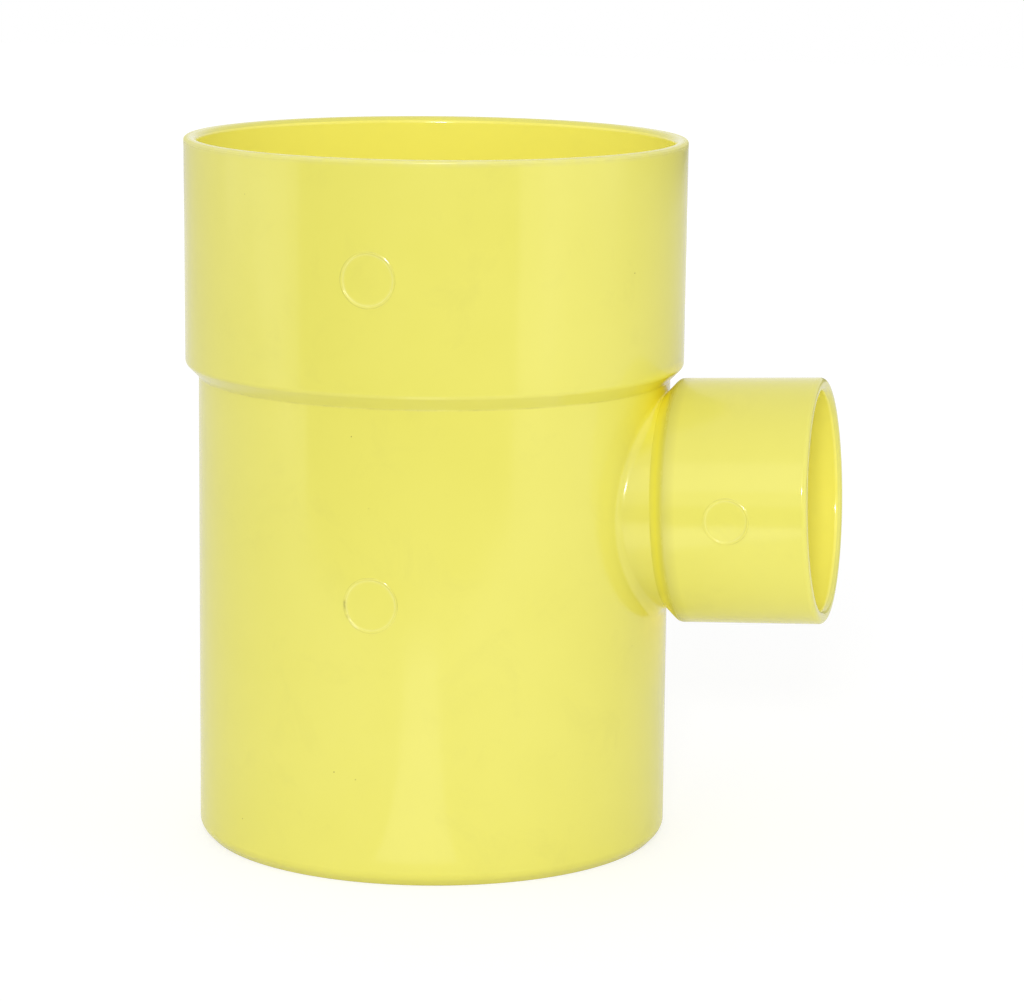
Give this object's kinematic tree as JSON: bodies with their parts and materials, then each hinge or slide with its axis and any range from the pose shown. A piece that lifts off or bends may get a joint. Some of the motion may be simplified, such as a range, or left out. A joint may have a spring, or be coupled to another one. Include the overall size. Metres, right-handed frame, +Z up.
{
  "type": "pvc reducing tee",
  "caption": "Moulded pipe tee with a wide spigot and socket on the run and a narrower, slightly rising branch socket.",
  "frame": {"origin": "on the plane of the spigot end, under the middle of the part's outline", "axes": "+Z up the run from spigot to socket, +X toward the branch, +Y across"},
  "size_m": [0.152, 0.1166, 0.1639],
  "materials": {
    "yellow_pvc": "glossy moulded surface"
  },
  "bodies": {
    "root": {"tee_body": "yellow_pvc"}
  },
  "joints": []
}
